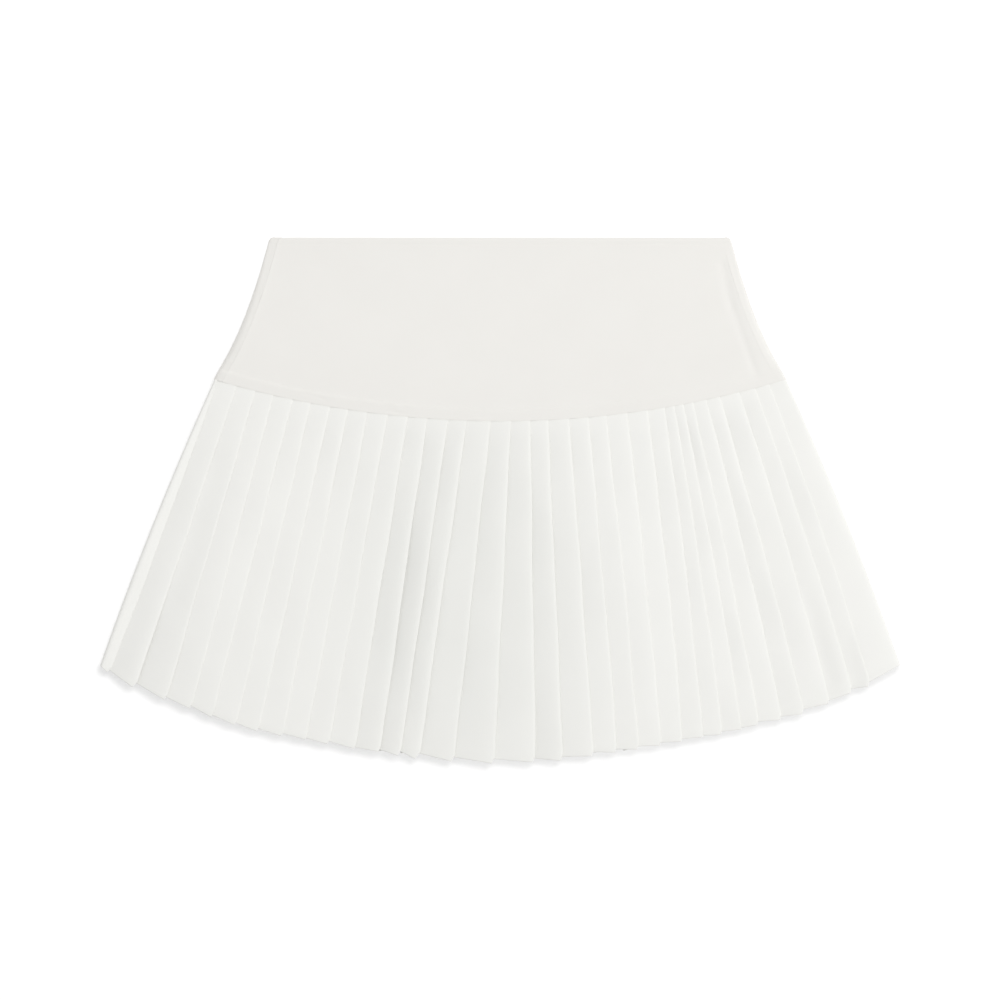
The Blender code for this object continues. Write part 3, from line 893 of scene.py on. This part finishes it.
def turned_side(sign, share):
    """A row of points over one turned side of the back yoke, from its side seam to the underside."""
    top = yoke_height(sign * SEAM_HALF, share)
    fall = LEFT_BAND_FALL * eased(share * 6) * eased(6 - share * 6) if sign > 0 else 0.0
    rise = (top - fall - YOKE_BACK) / 2
    bend = min(rise, between(SIDE_BEND, SEAM_BEND, eased(share * 4 - 3)))
    points = []
    for off, drop in ((0.0, SIDE_TUCK), (SIDE_TUCK_REACH / 2, SIDE_TUCK / 2), (SIDE_TUCK_REACH, 0.0)):
        x, level = yoke_spot(sign, SIDE_SEAM_INSET - off, share)
        height = top + yoke_relief(x, level) + side_seam_rise(sign, off) - fall * eased(off / BAND_FADE)
        points.append(place(x, level, height - drop))
    for k in range(SIDE_STEPS + 1):
        angle = math.pi / 2 - math.pi * k / SIDE_STEPS
        height = YOKE_BACK + rise * (1 + math.sin(angle))
        x, level = yoke_spot(sign, YOKE_WALL / 2 + bend * (1 - math.cos(angle)), share)
        lifted = eased((height - YOKE_BACK) / (2 * rise)) * yoke_relief(x, level)
        points.append(place(x, level, height + lifted))
    return points


def back_yoke(cloth):
    """The back yoke lies flat on the surface and turns up round both sides."""
    margin = YOKE_WALL / 2 + SIDE_BEND + 1.0
    rows = []
    for share in map(yoke_share, range(YOKE_ROWS)):
        flat = []
        for across in map(yoke_across, range(YOKE_COLUMNS + 1)):
            x, level = yoke_spot(across, margin, share)
            relief = back_relief(x, level, (1 - abs(across)) * SEAM_HALF)
            flat.append(place(x, level, YOKE_BACK + relief))
        rows.append(turned_side(-1.0, share) + flat + turned_side(1.0, share)[::-1])
    return sheet_piece("back_yoke_knit", rows, cloth, YOKE_WALL)


# ---------------------------------------------------------------- inner shorts

SHORTS_CROTCH = 246.0
SHORTS_INSEAM = 0.64      # share of the way down to the crotch
SHORTS_INNER_HEM = (12.0, 312.0)
SHORTS_OUTER_HEM = (frame_mm("shorts_front_left", 1, 0), 292.0)
SHORTS_SIDE = 183.0
SHORTS_COLUMNS = 40
SHORTS_ROWS = 44


def shorts_spot(across, down):
    """Distance from the middle and level of a point of one leg."""
    top, outer_top = seam_level(0.0) + 2 * GAP, seam_level(SHORTS_SIDE) + 2 * GAP
    if down < SHORTS_INSEAM:
        inner = (GAP / 2, between(top, SHORTS_CROTCH, down / SHORTS_INSEAM))
    else:
        share = (down - SHORTS_INSEAM) / (1 - SHORTS_INSEAM)
        hem_out, hem = SHORTS_INNER_HEM
        inner = (between(GAP / 2, hem_out, share), between(SHORTS_CROTCH, hem, share))
    outer = (between(SHORTS_SIDE, SHORTS_OUTER_HEM[0], down), between(outer_top, SHORTS_OUTER_HEM[1], down))
    out = between(inner[0], outer[0], across)
    arc = seam_level(out) + 2 * GAP - between(top, outer_top, across)
    return out, between(inner[1], outer[1], across) + arc * (1 - down)


def shorts_leg(name, layer, side, cloth):
    node = f"shorts_{layer}_{name}"
    height = (frame_mm(node, 0, 2) + frame_mm(node, 1, 2)) / 2
    rows = []
    for j in range(SHORTS_ROWS):
        spots = [shorts_spot(k / SHORTS_COLUMNS, j / (SHORTS_ROWS - 1)) for k in range(SHORTS_COLUMNS + 1)]
        rows.append([place(side * out, level, height) for out, level in spots])
    return sheet_piece(f"{layer}_shorts_leg_{name}", rows, cloth, SHORTS_WALL)


# ---------------------------------------------------------------- stitches

THREAD_RADIUS = 0.11
STITCH_PITCH, STITCH_LENGTH = 3.0, 2.3
WAIST_STITCH_END = 1.5                # the waist's stitches end this far from the side seams
HEM_STITCH_UP = (18.5, 20.5)          # two rows above each shorts hem
HEM_STITCH_SPAN = (0.03, 0.98)        # across this part of a leg


def stitch_tree():
    """Geometry Nodes that lay short threads end to end along a line."""
    inputs = dict(Line="Geometry", Pitch="Float", Length="Float", Radius="Float", Thread="Material")
    tree = Group("Stitches along a line", "GeometryNodeTree", inputs, dict(Geometry="Geometry"))
    radius = tree.inputs["Radius"]
    curve = tree.add("GeometryNodeMeshToCurve", tree.inputs["Line"]).outputs[0]
    spacing = {"Curve": curve, "Length": tree.inputs["Pitch"]}
    points = tree.add("GeometryNodeCurveToPoints", spacing, mode="LENGTH").outputs
    bead = tree.add("GeometryNodeMeshUVSphere", {"Segments": 6, "Rings": 5, "Radius": 1.0}).outputs["Mesh"]
    half_length = tree.math("MULTIPLY", tree.inputs["Length"], 0.5)
    size = tree.add("ShaderNodeCombineXYZ", radius, radius, half_length).outputs[0]
    laid = tree.add("GeometryNodeInstanceOnPoints", {
        "Points": points["Points"], "Instance": bead, "Rotation": points["Rotation"], "Scale": size})
    return tree.end_mesh(laid.outputs[0], tree.inputs["Thread"])


def stitched(name, lines, tree, thread):
    """One piece of thread for lines of points that it is sewn along."""
    points, edges = [], []
    for line in lines:
        edges += [(len(points) + k, len(points) + k + 1) for k in range(len(line) - 1)]
        points += line
    mesh = bpy.data.meshes.new(name)
    mesh.from_pydata(points, edges, [])
    return linked(name, run_tree(mesh, tree, Pitch=STITCH_PITCH * MM, Length=STITCH_LENGTH * MM,
                                 Radius=THREAD_RADIUS * MM, Thread=thread))


def waist_line(side):
    """The line below the waist edge, on the outer face of the front or back yoke."""
    share = STITCH_LEVEL / SEAM_LEVEL
    reach = half_width(STITCH_LEVEL) - SIDE_SEAM_INSET - WAIST_STITCH_END
    line = []
    for k in range(YOKE_COLUMNS + 1):
        x = between(-reach, reach, k / YOKE_COLUMNS)
        if side == "front":
            height = yoke_height(x, share) + yoke_relief(x, STITCH_LEVEL) + YOKE_WALL / 2
        else:
            beside = (1 - abs(x) / half_width(STITCH_LEVEL)) * SEAM_HALF
            height = YOKE_BACK + back_relief(x, STITCH_LEVEL, beside) - YOKE_WALL / 2
            height = max(height, THREAD_RADIUS)
        line.append(place(x, STITCH_LEVEL, height))
    return line


def leg_hem_lines(side, height):
    """Two rows across a shorts leg, above its hem."""
    lines = []
    for up in HEM_STITCH_UP:
        down = 1 - up / (SHORTS_INNER_HEM[1] - seam_level(0.0))
        shares = [between(*HEM_STITCH_SPAN, k / SHORTS_COLUMNS) for k in range(SHORTS_COLUMNS + 1)]
        spots = [shorts_spot(across, down) for across in shares]
        lines.append([place(side * out, level, height) for out, level in spots])
    return lines


# ---------------------------------------------------------------- materials

FINE_DETAIL = 2.0
TONE_SCALE, TONE_DETAIL = 28.0, 3.0
Finish = namedtuple("Finish", "name dark light roughness sheen bump group settings zone")
Zone = namedtuple("Zone", "centre reach tint")
# Painted shade: a grey tint multiplied into the pleats' cloth where the open pleats left of the middle lie.
OPEN_PLEAT_SHADE = Zone((-0.022, -0.070, 0.0), (0.125, 0.190, 1.0), (0.965, 0.968, 0.965))


def new_material(name):
    material = bpy.data.materials.new(name)
    material.use_nodes = True
    return material, Nodes(material.node_tree)


def thread_material():
    """Sewing thread: fine twisted plies, with a painted highlight where they stand up."""
    material, nodes = new_material("White sewing thread")
    twist = {"Vector": nodes.add("ShaderNodeTexCoord").outputs["Object"], "Scale": 900.0, "Distortion": 1.5}
    wave = nodes.add("ShaderNodeTexWave", twist, wave_type="BANDS", bands_direction="DIAGONAL")
    plies = wave.outputs["Fac"]
    # Painted highlight: the plies' raised bands get the lighter colour.
    colour = nodes.mix(plies, (0.77, 0.757, 0.727, 1.0), (0.82, 0.807, 0.777, 1.0))
    nodes.coat(colour, plies, bump=0.3, depth=0.00005, looks={"Roughness": 0.6, "Sheen Weight": 0.15})
    return material


def cloth_group(name, **inputs):
    inputs = dict(Vector="Vector", Unevenness="Float", **inputs)
    return Group(name, "ShaderNodeTree", inputs, dict(Height="Float", Tone="Float"))


def end_cloth(tree, pattern, noise_place, noise_scale):
    """Ends a cloth's group: a height made finely uneven, and slow changes of tone, from 0 to 1."""
    fine = tree.noise(noise_place, noise_scale, FINE_DETAIL)
    uneven = tree.math("MULTIPLY", fine, tree.inputs["Unevenness"])
    tree.feed(tree.outputs["Height"], tree.math("ADD", pattern, uneven))
    tree.feed(tree.outputs["Tone"], tree.noise(tree.inputs["Vector"], TONE_SCALE, TONE_DETAIL))
    return tree.tree


def knit_group():
    """Fine knitted wales on UVs in metres: height of the loops, and a soft tone."""
    tree = cloth_group("Knitted loops", Wale="Float", Course="Float")
    split = tree.add("ShaderNodeSeparateXYZ", tree.inputs["Vector"]).outputs
    wale = tree.math("DIVIDE", split[0], tree.inputs["Wale"])
    side = tree.math("ABSOLUTE", tree.math("SUBTRACT", tree.math("FRACT", wale), 0.5))
    course = tree.math("ADD", tree.math("DIVIDE", split[1], tree.inputs["Course"]), side)
    loops = tree.math("SINE", tree.math("MULTIPLY", course, 2 * math.pi))
    rows = tree.math("SINE", tree.math("MULTIPLY", side, 2 * math.pi))
    pattern = tree.math("MULTIPLY", rows, tree.math("MULTIPLY_ADD", loops, 0.25, 0.5))
    return end_cloth(tree, pattern, tree.inputs["Vector"], 420.0)


def weave_group():
    """Plain weave on UVs in metres: height of the threads, and a soft tone."""
    tree = cloth_group("Woven threads", Thread="Float")
    split = tree.add("ShaderNodeSeparateXYZ", tree.inputs["Vector"]).outputs
    waves = []
    for axis in (0, 1):
        turns = tree.math("DIVIDE", split[axis], tree.inputs["Thread"])
        waves.append(tree.math("SINE", tree.math("MULTIPLY", turns, math.pi)))
    stretched = tree.vector("MULTIPLY", tree.inputs["Vector"], (1.0, 0.12, 1.0))
    return end_cloth(tree, tree.math("MULTIPLY", *waves), stretched, 900.0)


def open_pleat_shade_group():
    """Painted shade: 1 in the middle of the zone where the pleats lie open over fewer layers, falling to 0
    around it.
    """
    tree = Group("Open pleats", "ShaderNodeTree", dict(Centre="Vector", Reach="Vector"), dict(Mask="Float"))
    here = tree.add("ShaderNodeTexCoord").outputs["Object"]
    off = tree.vector("DIVIDE", tree.vector("SUBTRACT", here, tree.inputs["Centre"]), tree.inputs["Reach"])
    length = tree.add("ShaderNodeVectorMath", off, operation="LENGTH").outputs["Value"]
    fade = tree.add("ShaderNodeMapRange", length, 0.25, 1.0, 1.0, 0.0, interpolation_type="SMOOTHSTEP")
    tree.feed(tree.outputs["Mask"], fade.outputs["Result"])
    return tree.tree


def cloth_material(finish):
    """A matte cloth: tone from its group, and a bump from its loops or threads."""
    material, nodes = new_material(finish.name)
    uv = nodes.add("ShaderNodeUVMap", uv_map="Cloth").outputs[0]
    pattern = nodes.add("ShaderNodeGroup", node_tree=finish.group)
    nodes.fill(pattern, {"Vector": uv, **finish.settings})
    colour = nodes.mix(pattern.outputs["Tone"], (*finish.dark, 1.0), (*finish.light, 1.0))
    # Painted shade: the zone's tint darkens the cloth over the open pleats.
    if finish.zone:
        shade_mask = nodes.add("ShaderNodeGroup", node_tree=open_pleat_shade_group())
        nodes.fill(shade_mask, {"Centre": finish.zone.centre, "Reach": finish.zone.reach})
        colour = nodes.mix(shade_mask.outputs["Mask"], colour, (*finish.zone.tint, 1.0), blend_type="MULTIPLY")
    nodes.coat(colour, pattern.outputs["Height"], bump=finish.bump, depth=0.0002, looks={
        "Roughness": finish.roughness, "Sheen Weight": finish.sheen, "Sheen Roughness": 0.5,
        "Specular IOR Level": 0.25})
    return material


# ---------------------------------------------------------------- studio

FLOOR_SIZE, FLOOR_HEIGHT = 12.0, -0.0002    # in metres, as are the lights and the camera
WHITE = (1.0, 1.0, 1.0, 1.0)
Light = namedtuple("Light", "name size power place")
LIGHTS = (
    Light("Overhead softbox", 2.4, 8.0, (0.3, 0.3, 2.6)),
    Light("Window from the waist's side", 0.9, 21.0, (0.40, 0.80, 2.3)),
    Light("Low fill from the wearer's left", 1.7, 26.0, (3.2, -0.4, 1.5)),
)
CAMERA_HEIGHT, CAMERA_Y = 6.0, 0.0009
VIEW_WIDTH, SENSOR = 0.671, 36.0            # the view at the floor, and the sensor in millimetres


def studio():
    scene = bpy.context.scene
    scene.view_settings.view_transform = "Standard"
    scene.world = bpy.data.worlds.new("Studio")
    scene.world.use_nodes = True
    sky = Nodes(scene.world.node_tree)
    sky.fill(sky.tree.nodes["Background"], {"Color": WHITE, "Strength": 0.575})

    bpy.ops.mesh.primitive_plane_add(size=FLOOR_SIZE, location=(0.0, 0.0, FLOOR_HEIGHT))
    floor = bpy.context.object
    floor.name = "studio_floor"
    white, nodes = new_material("Studio white")
    nodes.fill(nodes.tree.nodes["Principled BSDF"], {
        "Base Color": (0.65, 0.65, 0.65, 1.0), "Roughness": 1.0, "Specular IOR Level": 0.0,
        "Emission Color": WHITE, "Emission Strength": 0.44})
    floor.data.materials.append(white)

    for lamp in LIGHTS:
        data = bpy.data.lights.new(lamp.name, "AREA")
        data.size = lamp.size
        data.energy = lamp.power
        light = bpy.data.objects.new(lamp.name, data)
        light.location = lamp.place
        light.rotation_euler = Vector(lamp.place).to_track_quat("Z", "Y").to_euler()
        scene.collection.objects.link(light)

    camera = bpy.data.objects.new("Camera above", bpy.data.cameras.new("Camera above"))
    camera.data.sensor_width = SENSOR
    camera.data.lens = SENSOR * CAMERA_HEIGHT / VIEW_WIDTH
    camera.location = (0.0, CAMERA_Y, CAMERA_HEIGHT)
    scene.collection.objects.link(camera)
    scene.camera = camera


# ---------------------------------------------------------------- garment

def dress():
    knit, weave = knit_group(), weave_group()
    yoke_knit = cloth_material(Finish(
        "Ivory interlock knit", (0.785, 0.772, 0.741), (0.810, 0.798, 0.767), 0.85, 0.10, 0.12, knit,
        {"Wale": 0.0007, "Course": 0.0005, "Unevenness": 0.3}, None))
    pleat_cloth = cloth_material(Finish(
        "White pleating cloth", (0.82, 0.818, 0.790), (0.85, 0.848, 0.82), 0.75, 0.10, 0.10, weave,
        {"Thread": 0.0003, "Unevenness": 0.3}, OPEN_PLEAT_SHADE))
    shorts_knit = cloth_material(Finish(
        "White shorts knit", (0.780, 0.778, 0.757), (0.810, 0.808, 0.788), 0.85, 0.10, 0.15, knit,
        {"Wale": 0.0008, "Course": 0.0006, "Unevenness": 0.4}, None))

    pleater, profile = pleat_tree(), profile_object()
    front = Pleats(FRONT_FOLDS, FRONT_FACE, 1, SIDE_JOIN + GAP / 2, FRONT_CROWN)
    back = Pleats(back_folds(), BACK_FACE, -1, SIDE_JOIN - GAP / 2, 0.0)
    made = {}    # each piece and its material slot, under the solid that it replaces
    for node, pleats, creases in (("skirt_front", front, FRONT_CREASES), ("skirt_back", back, BACK_CREASES)):
        side = node.split("_")[1]
        skirt = pleated_panel(f"{side}_pleated_skirt", pleats, creases, pleater, profile, pleat_cloth)
        made[node] = (skirt, "pleat_cloth")
    bpy.data.objects.remove(profile)

    for node, yoke in (("yoke_front", front_yoke(yoke_knit)), ("yoke_back", back_yoke(yoke_knit))):
        made[node] = (yoke, "yoke_knit")
    for layer in ("back", "front"):
        for name, sign in (("right", -1), ("left", 1)):
            leg = shorts_leg(name, layer, sign, shorts_knit)
            made[f"shorts_{layer}_{name}"] = (leg, "shorts_knit")

    lines = {f"{side}_waist_stitches": (waist_line(side),) for side in ("front", "back")}
    for layer, outward in (("back", -1), ("front", 1)):
        height = frame_mm(f"shorts_{layer}_left", 0, 2) + frame_mm(f"shorts_{layer}_left", 1, 2)
        height = (height + outward * SHORTS_WALL) / 2
        lines[f"{layer}_shorts_stitches"] = leg_hem_lines(-1, height) + leg_hem_lines(1, height)
    sewing, thread = stitch_tree(), thread_material()
    for name, sewn_along in lines.items():
        sewn = stitched(name, sewn_along, sewing, thread)
        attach(sewn, "root")
    for node, (piece, material_slot) in made.items():
        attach(piece, "root")
        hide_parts(node)


for item in list(bpy.data.objects):
    if item.type in ("LIGHT", "CAMERA"):
        bpy.data.objects.remove(item)
dress()
studio()
